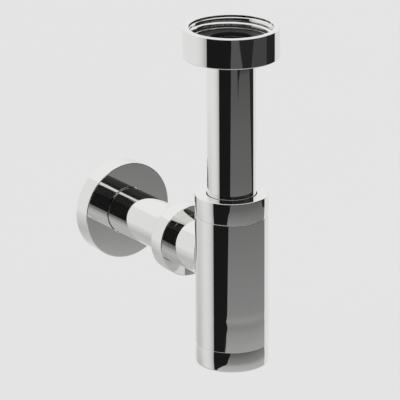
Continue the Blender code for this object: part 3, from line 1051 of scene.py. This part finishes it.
def card(name, outline, material, radius=CARD_RADIUS, steps=24, height_step=0.01):
    """An upright curved card. Its outline is rows (height, start, stop), low to high, with the
    azimuths in degrees from the camera's own; between rows the edges run straight."""
    positions, faces = [], []
    heights = []
    for (low_z, _, _), (high_z, _, _) in zip(outline, outline[1:]):
        count = max(1, round((high_z - low_z) / height_step))
        heights += [low_z + (high_z - low_z) * k / count for k in range(count)]
    heights.append(outline[-1][0])
    levels = [row[0] for row in outline]
    for z in heights:
        start = np.interp(z, levels, [row[1] for row in outline]) + FACING
        stop = np.interp(z, levels, [row[2] for row in outline]) + FACING
        for k in range(steps + 1):
            a = math.radians(start + (stop - start) * k / steps)
            positions.append((radius * math.sin(a), -radius * math.cos(a), z))
    for r in range(len(heights) - 1):
        for k in range(steps):
            i = r * (steps + 1) + k
            faces.append((i, i + 1, i + steps + 2, i + steps + 1))
    stage_only_mirrored(staged(name, positions, faces, material))


def ground_card():
    """A grey disc just above the floor, for what the undersides mirror."""
    material, tree, glow, split = emission("card_ground")
    flat = tree.nodes.new("ShaderNodeCombineXYZ")
    link(tree, split.outputs["X"], flat.inputs["X"])
    link(tree, split.outputs["Y"], flat.inputs["Y"])
    reach = tree.nodes.new("ShaderNodeVectorMath")
    reach.operation = "LENGTH"
    link(tree, flat.outputs[0], reach.inputs[0])
    link(tree, ramp(tree, reach.outputs["Value"], [(0.0, 0.50), (0.50, 0.55)]), glow.inputs["Color"])
    sides = 96
    radius = CARD_RADIUS + 3 * BEHIND
    angles = [2 * math.pi * k / sides for k in range(sides)]
    ring = [(radius * math.cos(a), radius * math.sin(a), CARD_FOOT) for a in angles]
    stage_only_mirrored(staged("card_ground", ring, [tuple(range(sides))], material))


def make_cards():
    """Dark and grey cards in front and to the right, white to the left. Between neighbours the
    edges slant, as the stripes on the plate do."""
    left, right = -59.0, 121.5          # ends of the dark front, degrees from the camera
    black = even_glow("card_black", 0.0105)
    dark = even_glow("card_dark", 0.020)
    dim = upright_glow("card_dim", [(-0.16, 0.061), (-0.08, 0.058), (0.05, 0.036), (0.48, 0.024)])
    grey = upright_glow("card_grey", [
        (CARD_FOOT, 0.50), (-0.40, 0.45), (-0.37, 0.43), (-0.353, 0.37), (-0.338, 0.29),
        (-0.325, 0.25), (-0.295, 0.217), (-0.265, 0.181), (-0.235, 0.138), (-0.20, 0.120),
        (-0.17, 0.096), (-0.08, 0.096), (0.12, 0.024), (0.48, 0.022)])
    card("card_side", [(CARD_FOOT, -166.0, left), (-0.185, -166.0, left), (CARD_HEAD, -90.0, left)],
         side_glow("card_side"))
    black_edge = [(CARD_FOOT, -52.0), (-0.40, -46.0), (-0.38, -37.0), (-0.355, -26.0),
                  (-0.345, -19.0), (-0.325, -15.0), (-0.29, -12.5), (-0.26, -10.0), (-0.245, -7.0),
                  (-0.20, -4.5), (-0.17, -2.5), (-0.15, -2.0), (-0.13, 0.0), (CARD_HEAD, 2.0)]
    card("card_black_front", [(height, left, edge) for height, edge in black_edge], black)
    card("card_grey_front", [(CARD_FOOT, left, right), (CARD_HEAD, left, right)], grey,
         radius=CARD_RADIUS + 2 * BEHIND, steps=72)
    card("card_dark_wedge", [
        (-0.180, 29.7, 30.3), (-0.168, 28.0, 33.0), (-0.150, 25.0, 47.0), (-0.128, 15.0, 54.0),
        (-0.06, 4.0, 60.0), (CARD_HEAD, 2.0, 60.0)], dark)
    card("card_dim_middle", [(-0.163, 31.0, 89.0), (CARD_HEAD, 31.0, 89.0)], dim,
         radius=CARD_RADIUS + BEHIND)
    card("card_dark_right", [
        (-0.252, 112.0, 118.0), (-0.249, 109.5, 120.0), (-0.245, 108.0, 121.0),
        (-0.235, 106.0, 121.0), (-0.215, 102.0, 121.0), (-0.195, 97.5, 121.0),
        (-0.175, 94.0, 121.0), (-0.155, 89.0, right), (CARD_HEAD, 89.0, right)], dark)


def make_sky():
    """White all round: a little brighter overhead in the plate's mirror, grey behind the object."""
    world = bpy.data.worlds.new("studio")
    world.use_nodes = True
    bpy.context.scene.world = world
    tree = world.node_tree
    background = tree.nodes["Background"]
    path = tree.nodes.new("ShaderNodeLightPath")
    way = tree.nodes.new("ShaderNodeSeparateXYZ")
    link(tree, tree.nodes.new("ShaderNodeTexCoord").outputs["Generated"], way.inputs[0])
    mirrored = ramp(tree, way.outputs["Z"], [(0.05, 0.80), (0.30, 0.88), (0.60, 0.91)])
    seen = to_range(tree, path.outputs["Is Camera Ray"], 0.98, 0.776)
    choice = tree.nodes.new("ShaderNodeMix")
    link(tree, path.outputs["Is Glossy Ray"], choice.inputs[0])
    link(tree, seen, choice.inputs[2])
    link(tree, mirrored, choice.inputs[3])
    background.inputs["Color"].default_value = (1.0, 1.0, 1.0, 1.0)
    link(tree, choice.outputs[0], background.inputs["Strength"])


make_floor()
make_cards()
ground_card()
make_sky()

scene = bpy.context.scene
scene.view_settings.view_transform = "Standard"
scene.view_settings.look = "None"


# Camera

LENS = 308.2464         # mm, on a sensor 36 mm wide


def make_camera():
    azimuth, elevation, roll = math.radians(-34.576), math.radians(18.832), math.radians(-0.3324)
    distance, shift_right, shift_up = 1.73484, -0.01605, 0.00217
    right = Vector((math.cos(azimuth), math.sin(azimuth), 0.0))
    ahead = Vector((-math.sin(azimuth) * math.cos(elevation),
                    math.cos(azimuth) * math.cos(elevation), -math.sin(elevation)))
    up = right.cross(ahead)
    c, s = math.cos(roll), math.sin(roll)
    right, up = c * right + s * up, -s * right + c * up
    target = Vector((0.0, 0.0, OUTLET_Z * MM + 0.030))
    spot = target - ahead * distance + right * shift_right + up * shift_up
    data = bpy.data.cameras.new("camera")
    data.sensor_width = 36.0
    data.lens = LENS
    data.clip_start, data.clip_end = 0.05, 100.0
    camera = bpy.data.objects.new("camera", data)
    camera.matrix_world = Matrix((
        (right.x, up.x, -ahead.x, spot.x), (right.y, up.y, -ahead.y, spot.y),
        (right.z, up.z, -ahead.z, spot.z), (0.0, 0.0, 0.0, 1.0)))
    scene.collection.objects.link(camera)
    scene.camera = camera


make_camera()
